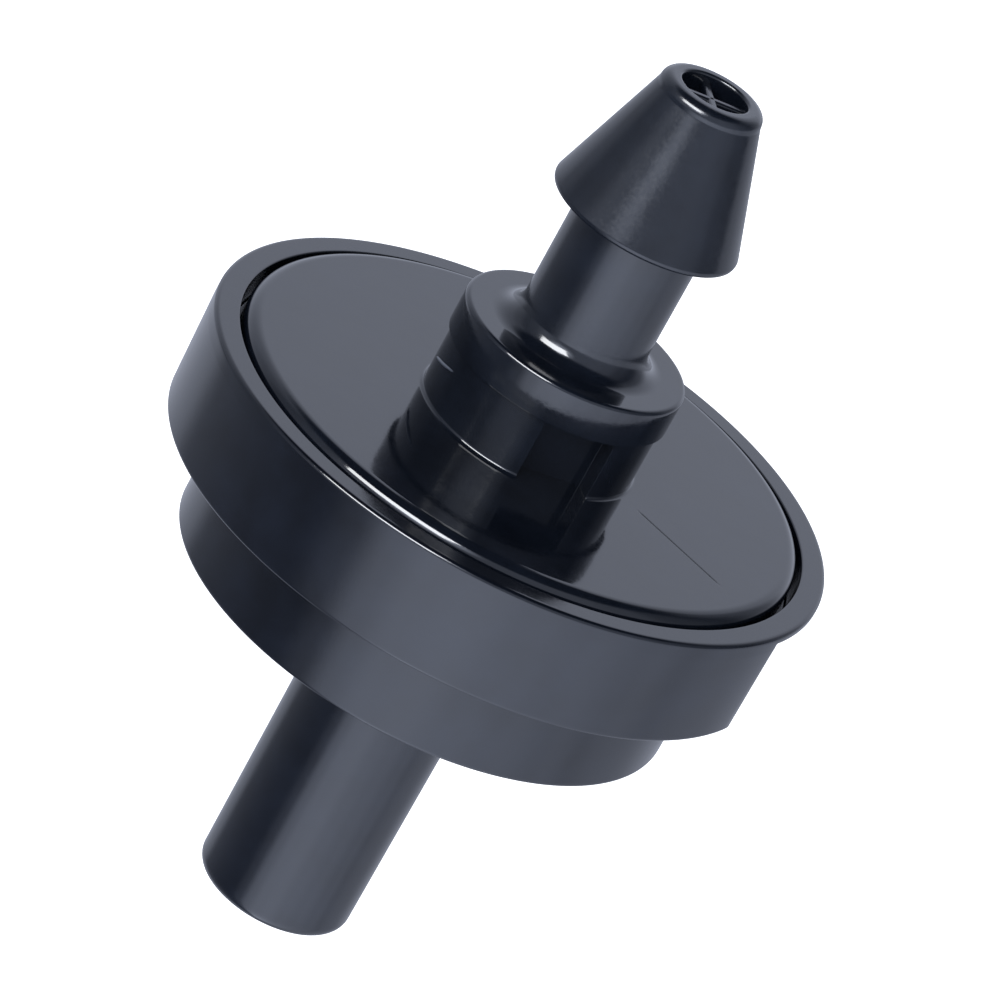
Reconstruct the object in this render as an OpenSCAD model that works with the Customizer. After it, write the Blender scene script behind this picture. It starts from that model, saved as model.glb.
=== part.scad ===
// On-line pressure-compensating drip emitter.
// A flat round case with a barbed inlet on one side and a plain outlet spigot on the other.
// Z runs along the axis towards the barb; Z = 0 is the face of the inlet collar,
// which seats against the wall of the lateral pipe. Millimetres.

/* [Case] */
// Outside diameter of the rim
rim_d = 20; // [19:0.1:22]
// Outside diameter at the foot of the skirt
skirt_d = 19.8; // [19:0.1:19.9]
// Height of the skirt, from the rim's top down
skirt_h = 3.6; // [3.4:0.1:4.5]
// Outside diameter of the lower chamber
chamber_d = 16.1; // [15.6:0.1:16.4]
// Height of the whole case, from the rim's top down
case_h = 6.8; // [6.5:0.1:7.6]
// Distance of the grip flat from the axis
flat_x = 9.35; // [9.1:0.05:9.6]

/* [Lid] */
// Gap between the lid and the rim around it
seam_gap = 0.18; // [0.1:0.02:0.3]
// Width of the rim's top land
land_w = 0.8; // [0.7:0.05:0.9]
// Height of the lid's face above the rim
lid_rise = 0.24; // [0:0.02:0.3]
// Thickness of the lid
lid_t = 1.34; // [1.2:0.02:1.4]

/* [Inlet] */
// Diameter of the boss that stands on the lid
boss_d = 6.84; // [6.4:0.1:7]
// Diameter of the collar at the top of the boss
collar_d = 7.16; // [7:0.1:7.6]
// Height of the collar's seat above the rim
seat_h = 3.5; // [3.2:0.05:4]
// Thickness of the collar
collar_t = 1.28; // [0.8:0.04:1.4]
// Diameter of the neck that sits in the pipe's hole
neck_d = 4.06; // [3.8:0.02:4.2]
// Length from the seat to the back of the barb
neck_l = 4.35; // [3:0.05:5]
// Largest diameter of the barb
barb_d = 5.92; // [5.6:0.02:6.2]
// Diameter of the barb at the shoulder of its nose
nose_d = 3.3; // [3.1:0.05:3.6]
// Length from the back of the barb to the shoulder of its nose
barb_l = 4.1; // [3.6:0.1:4.6]
// Length of the rounded nose
nose_l = 0.4; // [0.38:0.02:0.6]
// Diameter of the inlet bore
inlet_d = 2.1; // [1.8:0.1:2.2]

/* [Boss slots] */
// Number of tool slots around the boss
slot_n = 2; // [1:1:3]
// Width of a slot
slot_w = 2.3; // [1.5:0.1:2.6]
// Depth of a slot, inwards from the boss's surface
slot_deep = 0.95; // [0.5:0.05:1.2]
// Height of a slot above the lid
slot_h = 1.95; // [1.4:0.05:1.95]
// Direction of the first slot around the axis
slot_turn = -64; // [-180:1:180]

/* [Outlet] */
// Outside diameter of the spigot
spigot_d = 5; // [4.6:0.1:5.4]
// Length of the spigot below the case
spigot_l = 10.5; // [8:0.5:14]
// Diameter of the outlet bore
outlet_d = 2.6; // [2:0.1:3]

/* [Labyrinth] */
// Mean radius of the toothed channel
channel_r = 7.1; // [7:0.05:7.15]
// Width of the channel
channel_w = 1.4; // [1.2:0.1:1.5]
// Depth of the channel
channel_deep = 0.8; // [0.6:0.05:0.9]
// Number of teeth on each wall of the channel
tooth_n = 26; // [18:1:30]
// Number of grooves in the inlet filter comb
comb_n = 7; // [3:1:9]

/* [Diaphragm] */
// Diameter of the silicone disc
diaphragm_d = 13.2; // [12.6:0.1:13.4]
// Thickness of the silicone disc
diaphragm_t = 1; // [0.8:0.05:1.2]
// Free travel of its centre, from open to the outlet seat
travel = 0.3; // [0.2:0.05:0.35]

/* [Hidden] */
$fn = 96;
// Overlap that makes a cut or a union cross a shared face
eps = 0.05;
// Steps in a quarter-round edge
steps = 6;

// Levels along the axis, down from the seat at 0
rim_z = -seat_h;
lid_z = rim_z + lid_rise;
ledge_z = lid_z - lid_t;
skirt_z = rim_z - skirt_h;
floor_t = 1;
shelf_z = skirt_z + floor_t;
case_z = rim_z - case_h;
cup_z = case_z + floor_t;
spigot_z = case_z - spigot_l;
// Levels along the axis, up from the seat
barb_z = neck_l;
shoulder_z = barb_z + barb_l;
tip_z = shoulder_z + nose_l;

// Radii of the case
rim_r = rim_d/2;
pocket_r = rim_r - land_w;
lid_r = pocket_r - seam_gap;
wall_t = 1;
cup_r = chamber_d/2 - wall_t;
shelf_r = 8.4;
lip_t = 0.25;
edge_r = 0.12;

// Labyrinth disc
fit_gap = 0.05;
disc_r = shelf_r - fit_gap;
plug_r = cup_r - 0.1;
plug_h = 0.6;
well_r = 5;
well_deep = 0.5;
port_d = 2;
channel_arc = 300;
end_hole_d = 0.6;
end_hole_r = 7.25;
comb_arc = 48;
comb_w = 0.3;
comb_deep = 0.4;
comb_over = 0.2;
tooth_root = 0.35;
tooth_tip = 0.1;
tooth_l = 0.58*channel_w;

// Diaphragm and the seat below it
diaphragm_gap = 0.1;
diaphragm_z = shelf_z - plug_h - diaphragm_gap;
seat_clear = 0.05;
outlet_seat_z = diaphragm_z - diaphragm_t - travel - seat_clear;
seat_d = outlet_d + 2;
groove_w = 0.35;
groove_deep = 0.25;
post_n = 6;
post_r = 0.6;
duct_w = 1;
duct_r = 7.5;
duct_turn = 90;

// Points of an arc about (cx, cz), from angle a0 to angle a1
function arc(cx, cz, r, a0, a1, n = steps) =
    [for (i = [0:n]) let (a = a0 + (a1 - a0)*i/n) [cx + r*cos(a), cz + r*sin(a)]];

// Thin web across the inlet bore, its top a little below the tip
module inlet_web(turn) {
    web_t = 0.35;
    web_h = 1.2;
    sunk = 0.15;
    rotate([0, 0, turn])
        translate([-inlet_d/2 - eps, -web_t/2, tip_z - sunk - web_h])
            cube([inlet_d + 2*eps, web_t, web_h]);
}

// Lid, boss, collar, neck and barb: one moulding
module inlet_cover() {
    boss_r = boss_d/2;
    collar_r = collar_d/2;
    neck_r = neck_d/2;
    barb_r = barb_d/2;
    nose_r = nose_d/2;
    lid_round = 0.4;
    fillet = 0.12;
    collar_round = 0.12;
    collar_step = 0.06;
    foot_fillet = 0.8;
    back_drop = 0.12;
    nose_in = 0.5;
    outline = concat(
        [[0, ledge_z], [lid_r, ledge_z]],
        arc(lid_r - lid_round, lid_z - lid_round, lid_round, 0, 90),
        arc(boss_r + fillet, lid_z + fillet, fillet, 270, 180),
        [[boss_r, -collar_t], [collar_r, collar_step - collar_t]],
        arc(collar_r - collar_round, -collar_round, collar_round, 0, 90),
        arc(neck_r + foot_fillet, foot_fillet, foot_fillet, 270, 180),
        [[neck_r, barb_z + back_drop], [barb_r - 0.06, barb_z]],
        arc(barb_r - edge_r, barb_z + edge_r, edge_r, 270, 370),
        [[nose_r, shoulder_z]],
        arc(nose_r - nose_in, shoulder_z + nose_l - nose_in, nose_in, 15, 90),
        [[0, tip_z]]);
    color([0.13, 0.14, 0.16]) {
        difference() {
            rotate_extrude() polygon(outline);
            translate([0, 0, ledge_z - eps]) cylinder(d = inlet_d, h = tip_z - ledge_z + 2*eps);
            for (i = [0:slot_n - 1])
                rotate([0, 0, slot_turn + 360*i/slot_n])
                    translate([boss_r - slot_deep, -slot_w/2, lid_z])
                        cube([slot_deep + fillet, slot_w, slot_h]);
        }
        for (turn = [0, 90]) inlet_web(turn);
    }
}

// Rim, skirt, lower chamber, outlet seat and spigot: one moulding
module outlet_body() {
    chamber_r = chamber_d/2;
    skirt_r = skirt_d/2;
    spigot_r = spigot_d/2;
    end_round = 0.45;
    root_fillet = 0.2;
    outline = concat(
        [[0, spigot_z]],
        arc(spigot_r - end_round, spigot_z + end_round, end_round, 270, 360),
        arc(spigot_r + root_fillet, case_z - root_fillet, root_fillet, 180, 90),
        arc(chamber_r - edge_r, case_z + edge_r, edge_r, 270, 360),
        [[chamber_r, skirt_z]],
        arc(skirt_r - edge_r, skirt_z + edge_r, edge_r, 270, 360),
        arc(rim_r - edge_r, rim_z - edge_r, edge_r, 0, 90),
        arc(pocket_r + edge_r, rim_z - edge_r, edge_r, 90, 180),
        [[pocket_r, ledge_z], [shelf_r, ledge_z], [shelf_r, shelf_z],
         [cup_r, shelf_z], [cup_r, cup_z], [0, cup_z]]);
    color([0.15, 0.16, 0.18])
        difference() {
            union() {
                rotate_extrude() polygon(outline);
                translate([0, 0, cup_z - eps]) cylinder(d = seat_d, h = outlet_seat_z - cup_z + eps);
                for (i = [0:post_n - 1])
                    rotate([0, 0, 360*(i + 0.5)/post_n])
                        translate([cup_r - 2*post_r, 0, cup_z - eps])
                            cylinder(r = post_r, h = outlet_seat_z - cup_z + eps);
            }
            // Outlet bore
            translate([0, 0, spigot_z - eps])
                cylinder(d = outlet_d, h = outlet_seat_z - spigot_z + 2*eps);
            // Metering groove across one side of the seat
            translate([0, -groove_w/2, outlet_seat_z - groove_deep]) cube([seat_d, groove_w, 1]);
            // Duct that leads the water from the labyrinth to below the diaphragm
            rotate([0, 0, duct_turn])
                translate([cup_r - 2*eps, -duct_w/2, cup_z])
                    cube([duct_r - cup_r + 2*eps, duct_w, shelf_z - cup_z + eps]);
            // Grip flat, under the rim's lip
            translate([flat_x, -rim_r, skirt_z - eps])
                cube([rim_r, 2*rim_r, skirt_h - lip_t + eps]);
        }
}

// One tooth of the labyrinth, from a wall at radius r, pointing outwards (side 1) or inwards (side -1)
module tooth(r, turn, side) {
    buried = 0.15;
    rotate([0, 0, turn])
        translate([0, 0, ledge_z - channel_deep - eps])
            linear_extrude(channel_deep + eps)
                polygon([[r - side*buried, -tooth_root], [r - side*buried, tooth_root],
                         [r + side*tooth_l, tooth_tip], [r + side*tooth_l, -tooth_tip]]);
}

// Flow disc: filter comb, toothed channel and the plug that holds the diaphragm in its chamber
module labyrinth_disc() {
    inner_r = channel_r - channel_w/2;
    outer_r = channel_r + channel_w/2;
    start = duct_turn - channel_arc;
    pitch = (channel_arc - comb_arc)/tooth_n;
    color([0.86, 0.84, 0.78])
        union() {
            difference() {
                union() {
                    translate([0, 0, shelf_z]) cylinder(r = disc_r, h = ledge_z - shelf_z);
                    translate([0, 0, shelf_z - plug_h]) cylinder(r = plug_r, h = plug_h + eps);
                }
                // Well under the inlet, and the port to the top of the diaphragm
                translate([0, 0, ledge_z - well_deep]) cylinder(r = well_r, h = well_deep + eps);
                translate([0, 0, shelf_z - plug_h - eps])
                    cylinder(d = port_d, h = ledge_z - shelf_z + plug_h);
                // Toothed channel
                rotate([0, 0, start - 3])
                    rotate_extrude(angle = channel_arc + 6)
                        translate([inner_r, ledge_z - channel_deep]) square([channel_w, channel_deep + eps]);
                // Filter comb between the well and the start of the channel
                for (i = [0:comb_n - 1])
                    rotate([0, 0, start + comb_arc*i/(comb_n - 1)])
                        translate([well_r - comb_over, -comb_w/2, ledge_z - comb_deep])
                            cube([inner_r - well_r + 2*comb_over, comb_w, comb_deep + eps]);
                // Hole at the end of the channel, over the duct
                rotate([0, 0, duct_turn])
                    translate([end_hole_r, 0, shelf_z - eps])
                        cylinder(d = end_hole_d, h = ledge_z - shelf_z, $fn = 32);
            }
            for (i = [0:tooth_n - 2]) {
                tooth(inner_r, start + comb_arc + pitch*(i + 0.25), 1);
                tooth(outer_r, start + comb_arc + pitch*(i + 0.75), -1);
            }
        }
}

// Silicone disc with rounded edges, free in the lower chamber
module diaphragm() {
    r = diaphragm_d/2;
    edge = 0.25;
    color([0.72, 0.36, 0.22])
        rotate_extrude()
            polygon(concat(
                [[0, diaphragm_z - diaphragm_t]],
                arc(r - edge, diaphragm_z - diaphragm_t + edge, edge, 270, 360),
                arc(r - edge, diaphragm_z - edge, edge, 0, 90),
                [[0, diaphragm_z]]));
}

inlet_cover();
outlet_body();
labyrinth_disc();
diaphragm();
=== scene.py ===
"""Looks of a button drip emitter: two glossy black mouldings, a flow disc and a silicone diaphragm.

Shapes are outlines turned about the Z axis, worked out in millimetres and stored in metres.
"""

import math

import bmesh
import bpy
import numpy as np
from mathutils import Matrix, Vector


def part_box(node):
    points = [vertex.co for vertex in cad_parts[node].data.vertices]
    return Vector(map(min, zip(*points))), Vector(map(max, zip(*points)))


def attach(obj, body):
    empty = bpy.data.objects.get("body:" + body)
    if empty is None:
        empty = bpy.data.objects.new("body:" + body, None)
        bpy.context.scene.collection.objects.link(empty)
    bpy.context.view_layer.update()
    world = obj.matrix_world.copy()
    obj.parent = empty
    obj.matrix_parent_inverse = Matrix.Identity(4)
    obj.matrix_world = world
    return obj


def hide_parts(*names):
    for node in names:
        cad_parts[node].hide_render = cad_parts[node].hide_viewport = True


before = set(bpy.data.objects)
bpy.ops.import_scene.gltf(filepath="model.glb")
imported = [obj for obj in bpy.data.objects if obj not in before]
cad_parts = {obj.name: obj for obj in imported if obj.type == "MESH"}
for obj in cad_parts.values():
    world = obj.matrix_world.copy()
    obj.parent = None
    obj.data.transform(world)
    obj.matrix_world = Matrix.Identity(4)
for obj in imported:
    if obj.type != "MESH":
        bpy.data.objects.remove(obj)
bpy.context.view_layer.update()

MM = 0.001

# ---------------------------------------------------------------- sizes, in millimetres
cover_low, cover_high = (np.array(corner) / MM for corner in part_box("inlet_cover"))
body_low, body_high = (np.array(corner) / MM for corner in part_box("outlet_body"))

# Levels along the axis, from the frame; the collar's seat is at 0
tip_z = cover_high[2]
ledge_z = cover_low[2]
rim_z = body_high[2]
spigot_z = body_low[2]
seat_z = 0.0

# Lid and rim
lid_rise = 0.24
lid_z = rim_z + lid_rise
lid_r = cover_high[0]
lid_round = 0.4
rim_r = body_high[1]
land_w = 0.8
rim_round = 0.14
rim_inner_round = 0.05
shelf_r = 8.4

# Boss, collar, neck and barb
boss_r = 3.42
boss_fillet = 0.12
collar_r = 3.57
collar_z = seat_z - 1.28
collar_step = 0.05
collar_round = 0.14
neck_r = 2.03
foot_fillet = 0.7
barb_r = 2.96
barb_z = 4.35
barb_edge = 0.16
shoulder_z = barb_z + 4.1
nose_r = 1.65
nose_round = 0.42
inlet_r = 1.05
mouth_round = 0.1
web_t = 0.3
web_h = 1.2
web_sunk = 0.25
web_edge = 0.1
web_bite = 0.06
web_turns = (20, 110)

# Tool slots in the boss
slot_turns = (-64.0, 116.0)
slot_w = 2.3
slot_floor = 2.47

# Mark left by the gate on the boss: its start and end as (turn from the front, height above the rim)
gate_mark = ((-78.0, 1.18), (-52.0, 1.61))
gate_mark_r = 0.05

# Case below the rim
skirt_r = 9.9
skirt_z = rim_z - 3.6
skirt_round = 0.14
shelf_z = skirt_z + 1.0
flat_x = 9.35
lip_t = 0.25
chamber_r = 8.05
case_z = rim_z - 6.8
cup_r = 7.05
cup_z = case_z + 1.0
spigot_r = 2.5
spigot_draft = 0.04
spigot_round = 0.45
root_fillet = 0.2
outlet_r = 1.3
outlet_seat_r = 2.3
duct_w = 1.0
duct_r = 7.5
duct_turn = 90.0
post_n = 6
post_r = 0.6
groove_w = 0.35
groove_deep = 0.25

# Silicone disc, from the frame, its moulded ring, and the outlet seat below it
disc_low, disc_high = (np.array(corner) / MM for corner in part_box("diaphragm"))
disc_r = disc_high[0]
disc_edge = 0.25
ring_r = 0.62 * disc_r
ring_w = 0.4
ring_deep = 0.04
disc_travel = 0.3
seat_clear = 0.05
outlet_seat_z = disc_low[2] - disc_travel - seat_clear


# ---------------------------------------------------------------- shapes
def outline(corners, turn_step=9.0, hold=0.05):
    """Rows (r, z) through corners given as (r, z, radius).

    Each corner becomes an arc tangent to both of its sides, in steps of at most turn_step degrees.
    A point within hold of the arc's end, on each side, keeps the flats flat.
    """
    points = np.array([corner[:2] for corner in corners], float)
    rows = [points[:1]]
    for i in range(1, len(corners) - 1):
        here, radius = points[i], corners[i][2]
        back = points[i - 1] - here
        onward = points[i + 1] - here
        reach = min(np.hypot(*back), np.hypot(*onward))
        back = back / np.hypot(*back)
        onward = onward / np.hypot(*onward)
        half = 0.5 * math.acos(np.clip(back @ onward, -1, 1))
        cut = radius / math.tan(half)
        near = min(hold, 0.2 * (reach - cut))
        centre = here + (back + onward) / np.hypot(*(back + onward)) * radius / math.sin(half)
        start = here + back * cut - centre
        end = here + onward * cut - centre
        sweep = math.atan2(start[0] * end[1] - start[1] * end[0], start @ end)
        count = max(2, math.ceil(abs(math.degrees(sweep)) / turn_step))
        angle = sweep * np.linspace(0, 1, count + 1)[:, None]
        across = np.array([-start[1], start[0]])
        arc = centre + start * np.cos(angle) + across * np.sin(angle)
        rows += [[here + back * (cut + near)], arc, [here + onward * (cut + near)]]
    rows.append(points[-1:])
    return np.concatenate(rows)


def curve(a, b, c, t):
    """Quadratic curve from a to c that leaves and arrives along the sides of the corner b."""
    t = t[:, None]
    return (1 - t) ** 2 * a[..., None, :] + 2 * t * (1 - t) * b[..., None, :] + t**2 * c[..., None, :]


def pocket_path(radius, half_w, floor_x, mouth=0.03, foot=0.04):
    """Cross-sections of a pocket cut along +X into rings of the given radii, one section a ring.

    From the ring, round the mouth, along one side wall, round to the flat floor at floor_x, and back by
    mirror. The rounds are quadratic curves of the sizes mouth and foot.
    """
    way = np.sign(floor_x - radius)
    reach = np.sqrt(radius**2 - half_w**2)
    turn = np.arcsin(half_w / radius) + mouth / radius
    side = np.full_like(radius, -half_w)
    floor = np.full_like(radius, floor_x)
    on_ring = np.stack([radius * np.cos(turn), -radius * np.sin(turn)], -1)
    corner = np.stack([reach, side], -1)
    in_wall = np.stack([reach + way * mouth, side], -1)
    low_wall = np.stack([floor - way * foot, side], -1)
    low_corner = np.stack([floor, side], -1)
    on_floor = np.stack([floor, side + foot], -1)
    t = np.linspace(0, 1, 6)
    half = np.concatenate([curve(on_ring, corner, in_wall, t), curve(low_wall, low_corner, on_floor, t)], 1)
    middle = np.stack([floor, np.zeros_like(radius)], -1)[:, None, :]
    return np.concatenate([half, middle, half[:, ::-1] * [1, -1]], 1)


POCKET_COLUMNS = 25


def ring_angles(turns, mouth, plain):
    """Angles of a turned shape's columns: evenly spread over each pocket's mouth and between the mouths."""
    angles = []
    for turn, following in zip(turns, turns[1:] + turns[:1]):
        gap = (following - turn - 2 * mouth) % 360
        between = turn + mouth + gap * np.arange(1, plain) / plain
        angles += [turn + np.linspace(-mouth, mouth, POCKET_COLUMNS), between]
    return np.radians(np.concatenate(angles))


def mesh_from(name, points, faces):
    """Mesh object from points in millimetres, its doubles welded and its sharp edges marked."""
    weld = 0.0004 * MM
    sharp = math.radians(32)
    mesh = bpy.data.meshes.new(name)
    mesh.from_pydata((points * MM).tolist(), [], faces.tolist())
    shape = bmesh.new()
    shape.from_mesh(mesh)
    bmesh.ops.remove_doubles(shape, verts=shape.verts, dist=weld)
    bmesh.ops.dissolve_degenerate(shape, edges=shape.edges, dist=weld)
    shape.to_mesh(mesh)
    shape.free()
    mesh.shade_smooth()
    mesh.set_sharp_from_angle(angle=sharp)
    piece = bpy.data.objects.new(name, mesh)
    bpy.context.scene.collection.objects.link(piece)
    return piece


def wrapped_faces(rows, columns, first=0):
    """Quads of a grid that closes on itself both ways, numbered from first."""
    i, j = np.meshgrid(np.arange(rows), np.arange(columns), indexing="ij")
    down, right = (i + 1) % rows, (j + 1) % columns
    corners = (i * columns + j, i * columns + right, down * columns + right, down * columns + j)
    return first + np.stack([corner.ravel() for corner in corners], -1)


def shells(*parts):
    """Several (points, faces) shells as one."""
    start = 0
    points, faces = [], []
    for part_points, part_faces in parts:
        points.append(part_points)
        faces.append(part_faces + start)
        start += len(part_points)
    return np.concatenate(points), np.concatenate(faces)


def lathe(rows, angles):
    """Rings of radius r at height z: the point at angle a is (r cos a, r sin a, z)."""
    r, z = rows[:, :1], rows[:, 1:2]
    return np.stack([r * np.cos(angles), r * np.sin(angles), z + 0 * angles], -1)


def cut_pockets(grid, rows, cut, turns, half_w, floor_x, column_of):
    """Moves each pocket's columns from the ring to the pocket's cross-section, on the rows in cut."""
    path = pocket_path(rows[cut, 0], half_w, floor_x)
    for turn, column in zip(turns, column_of):
        a = math.radians(turn)
        spun = path @ np.array([[math.cos(a), math.sin(a)], [-math.sin(a), math.cos(a)]])
        grid[cut, column:column + POCKET_COLUMNS, :2] = spun


def split_rows(rows, low_z, high_z):
    """Rows of a rising wall, doubled at low_z and at high_z, and a mask of the rows between the two."""
    hair = 0.0001
    at_high = int(np.argmax(rows[:, 1] > high_z - hair))
    a, b = rows[at_high - 1], rows[at_high]
    top = a + (b - a) * (high_z - a[1]) / (b[1] - a[1])
    at_low = int(np.argmax(rows[:, 1] > low_z + hair)) - 1
    foot = rows[at_low]
    between = rows[at_low + 1:at_high]
    made = np.concatenate([rows[:at_low + 1], [foot], between, [top, top], rows[at_high:]])
    cut = np.zeros(len(made), bool)
    cut[at_low + 1:at_high + 2] = True
    return made, cut


def fan(a, b, centre):
    """Triangles from each edge a-b to a centre point, as quads whose last two corners are one."""
    tip = np.full_like(a, centre)
    return np.stack([a, b, tip, tip], -1)


def bar(width, low_z, high_z, half_length, edge, turn):
    """Closed bar across the axis: a rounded-top section in (y, z), carried along X and turned about Z."""
    half = width / 2
    section = outline([(0, low_z, 0), (half, low_z, 0.01), (half, high_z, edge), (0, high_z, 0)], 15, 0.02)
    section = np.concatenate([section, (section * [-1, 1])[-2:0:-1]])
    along = np.array([-half_length, half_length])
    a = math.radians(turn)
    y, z = section[:, 0], section[:, 1]
    x = along[:, None]
    points = np.stack([x * math.cos(a) - y * math.sin(a), x * math.sin(a) + y * math.cos(a), z + 0 * x], -1)
    middle = np.full(2, (low_z + high_z) / 2)
    ends = np.stack([along * math.cos(a), along * math.sin(a), middle], -1)
    n = len(section)
    j = np.arange(n)
    k = (j + 1) % n
    sides = np.stack([j, k, k + n, j + n], -1)
    faces = np.concatenate([sides, fan(k, j, 2 * n), fan(j + n, k + n, 2 * n + 1)])
    return np.concatenate([points.reshape(-1, 3), ends]), faces


def cover_rows():
    """Outline of the cover, from its bore's lower edge round the outside and down the bore again."""
    bore_z = rim_z - 0.5
    barb_back = 0.08
    corners = [
        (inlet_r, bore_z, 0),
        (inlet_r, ledge_z, 0.05),
        (lid_r, ledge_z, 0.08),
        (lid_r, lid_z, lid_round),
        (boss_r, lid_z, boss_fillet),
        (boss_r, collar_z, 0.02),
        (collar_r, collar_z + collar_step, 0.03),
        (collar_r, seat_z, collar_round),
        (neck_r, seat_z, foot_fillet),
        (neck_r, barb_z + barb_back, 0.1),
        (barb_r - 0.02, barb_z, barb_edge / 2),
        (barb_r + 0.01, barb_z + 0.14, barb_edge),
        (nose_r, shoulder_z, 0.05),
        (nose_r - 0.05, tip_z, nose_round * 0.78),
        (inlet_r, tip_z, mouth_round),
        (inlet_r, bore_z + 0.1, 0),
    ]
    return outline(corners)


def cover_moulding():
    """Lid, boss with its slots, collar, neck and hollow barb, with two crossed webs in the mouth."""
    below_collar = 0.02
    beside_slot = 2.2
    plain = 120
    rows, cut = split_rows(cover_rows(), lid_z, collar_z - below_collar)
    mouth = math.degrees(math.asin(slot_w / 2 / boss_r)) + beside_slot
    angles = ring_angles(slot_turns, mouth, plain)
    grid = lathe(rows, angles)
    column_of = [i * (POCKET_COLUMNS + plain - 1) for i in range(len(slot_turns))]
    cut_pockets(grid, rows, cut, slot_turns, slot_w / 2, slot_floor, column_of)
    parts = [(grid.reshape(-1, 3), wrapped_faces(len(rows), len(angles)))]
    high = tip_z - web_sunk
    parts += [bar(web_t, high - web_h, high, inlet_r + web_bite, web_edge, turn) for turn in web_turns]
    return mesh_from("cover_moulding", *shells(*parts))


def soft_min(a, b, blend):
    """The smaller of a and b, with the change from one to the other spread over about blend."""
    return 0.5 * (a + b - np.sqrt((a - b) ** 2 + blend**2))


def body_rows():
    """Outline of the body, from the outlet bore up the outside and down the chambers to the outlet seat."""
    bore_z = 0.5 * (spigot_z + outlet_seat_z)
    corners = [
        (outlet_r, bore_z, 0),
        (outlet_r, spigot_z, 0.15),
        (spigot_r - 0.02, spigot_z, spigot_round),
        (spigot_r + spigot_draft, case_z, root_fillet),
        (chamber_r, case_z, 0.15),
        (chamber_r, skirt_z, 0.12),
        (skirt_r, skirt_z, skirt_round),
        (rim_r, rim_z - 0.5, 0.3),
        (rim_r, rim_z, rim_round),
        (rim_r - land_w, rim_z, rim_inner_round),
        (rim_r - land_w, ledge_z, 0.05),
        (shelf_r, ledge_z, 0.05),
        (shelf_r, shelf_z, 0.05),
        (cup_r, shelf_z, 0.03),
        (cup_r, cup_z, 0.05),
        (outlet_seat_r, cup_z, 0.1),
        (outlet_seat_r, outlet_seat_z, 0.08),
        (outlet_r, outlet_seat_z, 0.08),
        (outlet_r, bore_z + 0.1, 0),
    ]
    return outline(corners)


def body_angles():
    """Angles of the body's columns: close at the grip flat's ends and across the duct, wider elsewhere."""
    near, clear = 3, 4
    on_flat, to_duct, past_duct = 33, 50, 210
    edge = math.degrees(math.acos(flat_x / rim_r))
    duct = math.degrees(math.asin(duct_w / 2 / cup_r)) + 0.5
    ends = np.linspace(-near, near, 8 * near + 1)
    return np.radians(np.concatenate([
        ends - edge,
        np.linspace(clear - edge, edge - clear, on_flat),
        ends + edge,
        np.linspace(edge + clear, duct_turn - duct, to_duct)[:-1],
        duct_turn + np.linspace(-duct, duct, POCKET_COLUMNS),
        np.linspace(duct_turn + duct, 360 - clear - edge, past_duct)[1:],
    ]))


def cut_grip_flat(rows, angles):
    """Rings of the body with the wall below the rim's lip held back to the plane of the flat."""
    lip_z = rim_z - lip_t
    blend = 0.04
    outside = np.arange(len(rows)) < np.argmax(rows[:, 1])
    wall = outside & (rows[:, 0] > chamber_r + 0.3) & (rows[:, 1] < lip_z)
    last = int(np.nonzero(wall)[0][-1])
    a, b = rows[last], rows[last + 1]
    lip = a + (b - a) * (lip_z - a[1]) / (b[1] - a[1])
    rows = np.concatenate([rows[:last + 1], [lip, lip], rows[last + 1:]])
    wall = np.concatenate([wall[:last + 1], [True, False], wall[last + 1:]])
    grid = lathe(rows, angles)
    grid[wall, :, 0] = soft_min(grid[wall, :, 0], flat_x, blend)
    return grid, rows


def post(turn):
    """Closed round post on the chamber's floor: a rounded outline turned about its own axis."""
    at = cup_r - 2 * post_r
    buried = 0.05
    foot_z = cup_z - buried
    corners = [(0, foot_z, 0), (post_r, foot_z, 0.01), (post_r, outlet_seat_z, 0.08), (0, outlet_seat_z, 0)]
    rows = outline(corners, 20, 0.02)
    ring = np.radians(np.arange(0, 360, 15))
    grid = lathe(rows, ring) + [at * math.cos(turn), at * math.sin(turn), 0]
    faces = wrapped_faces(len(rows), len(ring))
    open_grid = faces[: (len(rows) - 1) * len(ring)]
    return grid.reshape(-1, 3), open_grid


def body_moulding():
    """Rim, skirt with its grip flat, lower chamber with posts and duct, grooved outlet seat and spigot.

    The groove's depth falls away over slope at each of its sides.
    """
    angles = body_angles()
    grid, rows = cut_grip_flat(body_rows(), angles)
    inside = np.arange(len(rows)) > np.argmax(rows[:, 1])
    cup_wall = inside & (abs(rows[:, 0] - cup_r) < 0.04) & (rows[:, 1] < shelf_z + 0.01)
    first = int(np.argmin(abs(angles - math.radians(duct_turn)))) - POCKET_COLUMNS // 2
    cut_pockets(grid, rows, cup_wall, (duct_turn,), duct_w / 2, duct_r, (first,))
    seat = inside & (rows[:, 0] < outlet_seat_r + 0.01) & (rows[:, 1] > cup_z + 0.2)
    x, y, z = np.moveaxis(grid[seat], -1, 0)
    slope = 0.06
    sunk = groove_deep * np.clip((groove_w / 2 + slope / 2 - abs(y)) / slope, 0, 1) * (x > 0)
    grid[seat, :, 2] = np.minimum(z, np.where(sunk > 0, outlet_seat_z - sunk, z))
    parts = [(grid.reshape(-1, 3), wrapped_faces(len(rows), len(angles)))]
    parts += [post(2 * math.pi * (i + 0.5) / post_n) for i in range(post_n)]
    return mesh_from("body_moulding", *shells(*parts))


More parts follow.
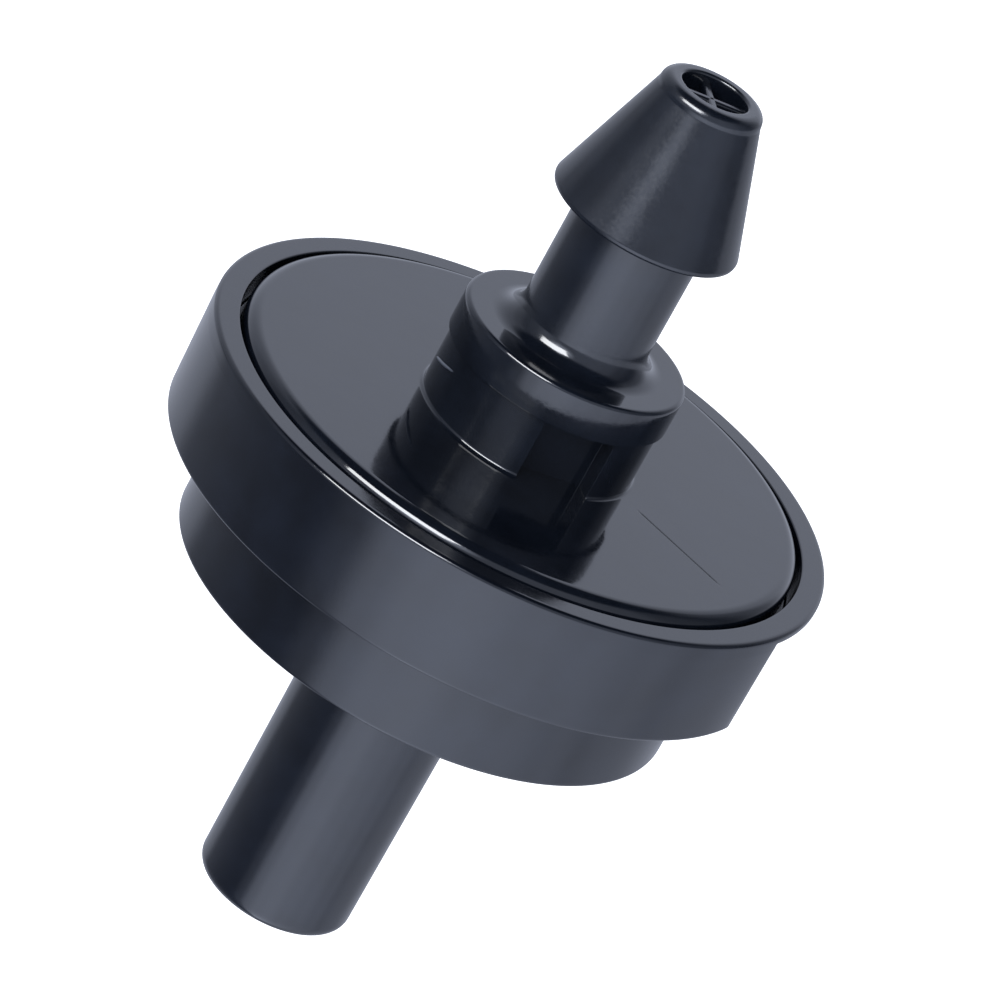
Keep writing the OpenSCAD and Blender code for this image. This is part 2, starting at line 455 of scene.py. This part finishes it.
def gate_nib():
    """Small round ridge on the boss: a circle half sunk in its wall, carried along a slanted line round it.

    The circle's radius falls away at the ends by the fourth power of the distance from the middle.
    """
    (turn_a, high_a), (turn_b, high_b) = gate_mark
    t = np.linspace(0, 1, 17)[:, None]
    around = np.radians(np.linspace(360, 0, 13)[:-1])
    thick = gate_mark_r * np.sqrt(np.clip(1 - (2 * t - 1) ** 4, 0.0025, 1))
    angle = np.radians(turn_a + (turn_b - turn_a) * t) - math.pi / 2
    reach = boss_r + thick * np.cos(around)
    high = rim_z + high_a + (high_b - high_a) * t + thick * np.sin(around)
    points = np.stack([reach * np.cos(angle), reach * np.sin(angle), high], -1)
    rings, columns = points.shape[:2]
    faces = wrapped_faces(rings, columns)[: (rings - 1) * columns]
    ends = np.array([points[0].mean(0), points[-1].mean(0)])
    n = rings * columns
    j = np.arange(columns)
    k = (j + 1) % columns
    last = (rings - 1) * columns
    faces = np.concatenate([faces, fan(k, j, n), fan(last + j, last + k, n + 1)])
    return mesh_from("cover_gate_nib", np.concatenate([points.reshape(-1, 3), ends]), faces)


def silicone_disc():
    """Diaphragm: a flat disc with round edges and a faint moulded ring on each face."""
    low, high = disc_low[2], disc_high[2]
    inner, outer = ring_r - ring_w / 2, ring_r + ring_w / 2
    corners = [
        (0, low, 0),
        (inner, low, 0.05),
        (ring_r, low + ring_deep, 0.08),
        (outer, low, 0.05),
        (disc_r, low, disc_edge),
        (disc_r, high, disc_edge),
        (outer, high, 0.05),
        (ring_r, high - ring_deep, 0.08),
        (inner, high, 0.05),
        (0, high, 0),
    ]
    rows = outline(corners)
    ring = np.radians(np.arange(0, 360, 3))
    faces = wrapped_faces(len(rows), len(ring))[: (len(rows) - 1) * len(ring)]
    return mesh_from("silicone_disc", lathe(rows, ring).reshape(-1, 3), faces)


# ---------------------------------------------------------------- materials
class Nodes:
    """A node tree, with short ways to add to it."""

    def __init__(self, tree):
        self.tree = tree

    def node(self, kind, **settings):
        """New node of a kind, with its settings."""
        made = self.tree.nodes.new(kind)
        for key, value in settings.items():
            setattr(made, key, value)
        return made

    def link(self, source, target):
        """Joins an output to an input."""
        self.tree.links.new(source, target)

    def math(self, operation, *values):
        """Result of a Math node, from sockets or numbers."""
        made = self.node("ShaderNodeMath", operation=operation)
        for socket, value in zip(made.inputs, values):
            if hasattr(value, "is_linked"):
                self.link(value, socket)
            else:
                socket.default_value = value
        return made.outputs[0]

    def axes(self, vector):
        """The X, Y and Z of a vector."""
        parts = self.node("ShaderNodeSeparateXYZ")
        self.link(vector, parts.inputs[0])
        return [parts.outputs[axis] for axis in "XYZ"]

    def spread(self, source, low, high, to_low, to_high, kind="SMOOTHSTEP"):
        """Source from low..high spread over to_low..to_high, smoothly unless kind says otherwise."""
        made = self.node("ShaderNodeMapRange", interpolation_type=kind)
        self.link(source, made.inputs["Value"])
        for key, value in (("From Min", low), ("From Max", high), ("To Min", to_low), ("To Max", to_high)):
            made.inputs[key].default_value = value
        return made.outputs["Result"]

    def colours(self, factor, *stops, blend="LINEAR"):
        """Colours laid along factor, as (place, (r, g, b))."""
        made = self.node("ShaderNodeValToRGB")
        made.color_ramp.interpolation = blend
        self.link(factor, made.inputs["Fac"])
        elements = made.color_ramp.elements
        while len(elements) < len(stops):
            elements.new(0.5)
        for element, (place, colour) in zip(elements, stops):
            element.position = place
            element.color = (*colour, 1)
        return made.outputs["Color"]


class Paint(Nodes):
    """A material whose pattern is laid on the piece's own Object coordinates."""

    def __init__(self, name):
        self.material = bpy.data.materials.new(name)
        self.material.use_nodes = True
        super().__init__(self.material.node_tree)
        self.shader = self.tree.nodes["Principled BSDF"]
        self.place = self.node("ShaderNodeTexCoord").outputs["Object"]

    def noise(self, size_mm, detail=3.0, rough=0.5, warp=0.0):
        """Cloudy noise whose lumps are about size_mm across, from 0 to 1."""
        made = self.node("ShaderNodeTexNoise")
        self.link(self.place, made.inputs["Vector"])
        made.inputs["Scale"].default_value = 1 / (size_mm * MM)
        made.inputs["Detail"].default_value = detail
        made.inputs["Roughness"].default_value = rough
        made.inputs["Distortion"].default_value = warp
        return made.outputs["Fac"]

    def relief(self, *layers):
        """Bump from (height 0..1, depth in mm) layers, the coarsest first."""
        normal = None
        for height, depth_mm in layers:
            bump = self.node("ShaderNodeBump")
            bump.inputs["Strength"].default_value = 1
            bump.inputs["Distance"].default_value = depth_mm * MM
            self.link(height, bump.inputs["Height"])
            if normal is not None:
                self.link(normal, bump.inputs["Normal"])
            normal = bump.outputs["Normal"]
        self.link(normal, self.shader.inputs["Normal"])


def black_polyethylene(name, tint, gloss, duller=1.0, sheen_tint=(0.97, 0.985, 1.0)):
    """Moulded black plastic: slightly blue, glossy, with a fine orange-peel skin and faint mottling.

    Roughness is about gloss, and that times duller above the collar's seat, on the neck and the barb.
    """
    paint = Paint(name)
    mottle = paint.noise(1.6, 4, 0.6)
    grain = paint.noise(0.11, 2, 0.6)
    skin = paint.noise(0.5, 2, 0.5)
    swell = paint.noise(3.0, 1, 0.5)
    dark = tuple(0.75 * c for c in tint)
    light = tuple(1.3 * c for c in tint)
    paint.link(paint.colours(mottle, (0.3, dark), (0.7, light)), paint.shader.inputs["Base Color"])
    mixed = paint.math("ADD", paint.math("MULTIPLY", mottle, 0.5), paint.math("MULTIPLY", grain, 0.5))
    rough = paint.spread(mixed, 0.35, 0.65, gloss * 0.75, gloss * 1.35)
    height = paint.axes(paint.place)[2]
    dulling = paint.spread(height, seat_z * MM, (seat_z + foot_fillet) * MM, 1.0, duller)
    paint.link(paint.math("MULTIPLY", rough, dulling), paint.shader.inputs["Roughness"])
    paint.shader.inputs["IOR"].default_value = 1.5
    paint.shader.inputs["Specular Tint"].default_value = (*sheen_tint, 1)
    paint.relief((swell, 0.004), (skin, 0.0010), (grain, 0.0005))
    return paint


def knit_line(paint, start, end, width, deep, rough):
    """Adds a shallow dull line, from start to end on the lid, where two streams of plastic met.

    The piece's coordinates are turned so that the line lies along X. The mask is 1 near the line and on the
    lid, and raises the roughness towards rough.
    """
    a, b = np.array(start), np.array(end)
    middle = 0.5 * (a + b)
    length = np.hypot(*(b - a))
    turned = paint.node("ShaderNodeMapping", vector_type="TEXTURE")
    turned.inputs["Location"].default_value = (middle[0] * MM, middle[1] * MM, lid_z * MM)
    turned.inputs["Rotation"].default_value = (0, 0, math.atan2(b[1] - a[1], b[0] - a[0]))
    paint.link(paint.place, turned.inputs["Vector"])
    along, across, high = (paint.math("ABSOLUTE", part) for part in paint.axes(turned.outputs["Vector"]))
    core, fade_from = 0.3 * width, 0.35 * length
    near_lid, off_lid = 0.05, 0.1
    on_line = paint.spread(across, core * MM, width * MM, 1.0, 0.0)
    within = paint.spread(along, fade_from * MM, 0.5 * length * MM, 1.0, 0.0)
    on_lid = paint.spread(high, near_lid * MM, off_lid * MM, 1.0, 0.0)
    mask = paint.math("MULTIPLY", paint.math("MULTIPLY", on_line, within), on_lid)
    normal = paint.shader.inputs["Normal"].links[0].from_socket
    dent = paint.node("ShaderNodeBump", invert=True)
    dent.inputs["Strength"].default_value = 1
    dent.inputs["Distance"].default_value = deep * MM
    paint.link(mask, dent.inputs["Height"])
    paint.link(normal, dent.inputs["Normal"])
    paint.link(dent.outputs["Normal"], paint.shader.inputs["Normal"])
    gloss = paint.shader.inputs["Roughness"].links[0].from_socket
    dull = paint.math("MAXIMUM", gloss, paint.math("MULTIPLY", mask, rough))
    paint.link(dull, paint.shader.inputs["Roughness"])


def natural_acetal():
    """Off-white acetal: waxy, a little translucent, with faint flow clouds."""
    paint = Paint("natural_acetal")
    cloud = paint.noise(1.2, 3, 0.5, 0.5)
    grain = paint.noise(0.08, 2, 0.6)
    waxy = paint.colours(cloud, (0.3, (0.66, 0.63, 0.55)), (0.7, (0.78, 0.76, 0.70)))
    paint.link(waxy, paint.shader.inputs["Base Color"])
    paint.link(paint.spread(grain, 0.3, 0.7, 0.32, 0.5), paint.shader.inputs["Roughness"])
    paint.shader.inputs["Subsurface Weight"].default_value = 0.15
    paint.shader.inputs["Subsurface Scale"].default_value = 0.5 * MM
    paint.relief((cloud, 0.002), (grain, 0.0006))
    return paint.material


def silicone():
    """Translucent orange-brown silicone with a dusty matt skin."""
    paint = Paint("silicone_rubber")
    cloud = paint.noise(1.8, 3, 0.5)
    dust = paint.noise(0.06, 3, 0.7)
    amber = paint.colours(cloud, (0.3, (0.42, 0.13, 0.06)), (0.7, (0.56, 0.22, 0.11)))
    paint.link(amber, paint.shader.inputs["Base Color"])
    paint.link(paint.spread(dust, 0.3, 0.7, 0.45, 0.7), paint.shader.inputs["Roughness"])
    paint.shader.inputs["Subsurface Weight"].default_value = 0.4
    paint.shader.inputs["Subsurface Scale"].default_value = 0.8 * MM
    paint.relief((dust, 0.0008))
    return paint.material


# ---------------------------------------------------------------- the object
cover_black = black_polyethylene("cover_black", (0.0075, 0.0098, 0.0145), 0.075, duller=2.2)
knit_line(cover_black, start=(3.7, -1.1), end=(7.3, -3.2), width=0.07, deep=0.003, rough=0.6)
body_black = black_polyethylene("body_black", (0.0058, 0.0076, 0.0118), 0.12)
# Grey about twelve times lighter than the other blacks: a painted highlight, so that the gate nib's ridge
# shows as a bright dash
painted_highlight_black = black_polyethylene("painted_highlight_black", (0.10, 0.11, 0.13), 0.35)

cover = cover_moulding()
cover.data.materials.append(cover_black.material)
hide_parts("inlet_cover")
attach(cover, "case")

nib = gate_nib()
# The nib wears the lighter grey, a painted highlight along its ridge
nib.data.materials.append(painted_highlight_black.material)
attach(nib, "case")

body = body_moulding()
body.data.materials.append(body_black.material)
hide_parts("outlet_body")
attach(body, "case")

disc = silicone_disc()
disc.data.materials.append(silicone())
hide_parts("diaphragm")
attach(disc, "diaphragm")

flow_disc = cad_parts["labyrinth_disc"]
flow_disc.data.materials.clear()
flow_disc.data.materials.append(natural_acetal())


# ---------------------------------------------------------------- camera
def camera():
    """Long lens 200 mm from the rim, 24 degrees above it, rolled so that the emitter leans to the right."""
    distance = 200 * MM
    elevation = math.radians(24.0)
    roll = math.radians(29.16)
    lens, sensor = 245.1, 36.0
    left, down = 0.0240, 0.0644
    lid = Vector((0, 0, rim_z * MM))
    back = Vector((0, -math.cos(elevation), math.sin(elevation)))
    level = Vector((1, 0, 0))
    upright = Vector((0, math.sin(elevation), math.cos(elevation)))
    right = math.cos(roll) * level + math.sin(roll) * upright
    up = math.cos(roll) * upright - math.sin(roll) * level
    view_w = sensor / lens * distance
    place = lid + distance * back
    aim = lid - (left * right + down * up) * view_w
    forward = (aim - place).normalized()
    right = (right - right.dot(forward) * forward).normalized()
    up = right.cross(forward)
    made = bpy.data.objects.new("camera", bpy.data.cameras.new("camera"))
    made.data.lens = lens
    made.data.sensor_width = sensor
    made.data.clip_start = 10 * MM
    made.data.clip_end = 20
    turn = Matrix((right, up, -forward)).transposed().to_4x4()
    made.matrix_world = Matrix.Translation(place) @ turn
    bpy.context.scene.collection.objects.link(made)
    bpy.context.scene.camera = made


camera()


# ---------------------------------------------------------------- light and floor
def plain(name, colour, glow):
    """Matt stage material with a little light of its own."""
    material = bpy.data.materials.new(name)
    material.use_nodes = True
    shader = material.node_tree.nodes["Principled BSDF"]
    shader.inputs["Base Color"].default_value = (*colour, 1)
    shader.inputs["Roughness"].default_value = 0.9
    shader.inputs["Emission Color"].default_value = (1, 1, 1, 1)
    shader.inputs["Emission Strength"].default_value = glow
    return material


def sheet(name, level, width, material):
    """Level square stage board centred on the axis, sizes in millimetres."""
    u = np.array([-1, 1, 1, -1]) * width / 2
    v = np.array([-1, -1, 1, 1]) * width / 2
    points = np.stack([u, v, 0 * u + level], -1) * MM
    mesh = bpy.data.meshes.new(name)
    mesh.from_pydata(points.tolist(), [], [(0, 1, 2, 3)])
    mesh.materials.append(material)
    made = bpy.data.objects.new(name, mesh)
    bpy.context.scene.collection.objects.link(made)
    return made


def facing(nodes, way):
    """Turn of a direction about Z, from 0 at the back, by the left, the front (-Y) and the right, to 1."""
    x, y, _ = nodes.axes(way)
    turn = nodes.math("ARCTAN2", x, nodes.math("MULTIPLY", y, -1))
    return nodes.spread(turn, -math.pi, math.pi, 0, 1, "LINEAR")


def glow_round(nodes, turn, brightest, *stops):
    """Brightness laid round the object, as (degrees to the right of the front, brightness)."""
    greys = [((degrees + 180) / 360, [bright / brightest] * 3) for degrees, bright in stops]
    return nodes.math("MULTIPLY", nodes.colours(turn, *greys, blend="EASE"), brightest)


# Slightly blue light, for the table and the walls
COOL = (0.81, 0.87, 1.05)


def light_table():
    """Sheet of light on the floor, brightest in front, fading to the right, and dark on the left.

    Only reflections see it, so the floor itself stays plain white.
    """
    level = 1.15
    material = bpy.data.materials.new("light_table")
    material.use_nodes = True
    nodes = Nodes(material.node_tree)
    nodes.tree.nodes.clear()
    turn = facing(nodes, nodes.node("ShaderNodeTexCoord").outputs["Object"])
    bright = glow_round(nodes, turn, 2.6, (-180, 0.5), (-128, 0.68), (-112, 0.34), (-48, 0.16), (-34, 0.5),
                        (-20, 1.8), (-6, 2.4), (12, 2.5), (32, 2.1), (54, 1.75), (78, 1.25), (95, 0.85),
                        (130, 0.58), (180, 0.42))
    glow = nodes.node("ShaderNodeEmission")
    glow.inputs["Color"].default_value = (*COOL, 1)
    nodes.link(nodes.math("MULTIPLY", bright, level), glow.inputs["Strength"])
    nodes.link(glow.outputs[0], nodes.node("ShaderNodeOutputMaterial").inputs["Surface"])
    table = sheet("light_table", floor_z + 1, floor_w, material)
    table.visible_camera = False


def surroundings():
    """Pale walls all round, brightest behind, a soft window in front on the left, and darkness overhead."""
    wall_top, dark_from = math.sin(math.radians(42)), math.sin(math.radians(56))
    window_at = direction(-18, 34)
    window_edge, window_core = math.cos(math.radians(25)), math.cos(math.radians(5))
    window_level = 3.4
    world = bpy.data.worlds.new("studio")
    world.use_nodes = True
    bpy.context.scene.world = world
    nodes = Nodes(world.node_tree)
    way = nodes.node("ShaderNodeTexCoord").outputs["Generated"]
    walls = glow_round(nodes, facing(nodes, way), 2.0, (-180, 1.15), (-135, 0.9), (-114, 0.7), (-92, 0.4),
                       (-72, 0.52), (-47, 1.1), (-24, 0.95), (0, 0.85), (24, 0.88), (47, 0.92), (70, 0.72),
                       (92, 0.35), (114, 0.14), (135, 0.45), (155, 1.05), (180, 1.15))
    fade = nodes.spread(nodes.axes(way)[2], wall_top, dark_from, 1, 0.02)
    toward = nodes.node("ShaderNodeVectorMath", operation="DOT_PRODUCT")
    toward.inputs[1].default_value = window_at
    nodes.link(way, toward.inputs[0])
    window = nodes.spread(toward.outputs["Value"], window_edge, window_core, 0, window_level)
    bright = nodes.math("ADD", nodes.math("MULTIPLY", walls, fade), window)
    background = nodes.tree.nodes["Background"]
    nodes.link(bright, background.inputs["Strength"])
    background.inputs["Color"].default_value = (*COOL, 1)


def direction(turn, lift):
    """Direction at turn degrees to the right of the front and lift degrees up."""
    turn, lift = math.radians(turn), math.radians(lift)
    return Vector((math.sin(turn) * math.cos(lift), -math.cos(turn) * math.cos(lift), math.sin(lift)))


def key_light():
    """Wide low light in front on the left, 38 degrees up, seen only as a gleam on the edges."""
    distance = 300 * MM
    lamp = bpy.data.lights.new("key", "AREA")
    lamp.shape = "RECTANGLE"
    lamp.size = 230 * MM
    lamp.size_y = 115 * MM
    lamp.energy = 1.65
    key = bpy.data.objects.new("key", lamp)
    spot = direction(-30, 38)
    key.location = spot * distance
    key.rotation_euler = spot.to_track_quat("Z", "Y").to_euler()
    key.visible_diffuse = False
    bpy.context.scene.collection.objects.link(key)


floor_z = spigot_z - 60
floor_w = 6000
sheet("floor", floor_z, floor_w, plain("floor_white", (0.9, 0.9, 0.9), 1.2))
light_table()
surroundings()
key_light()
bpy.context.scene.view_settings.view_transform = "Standard"
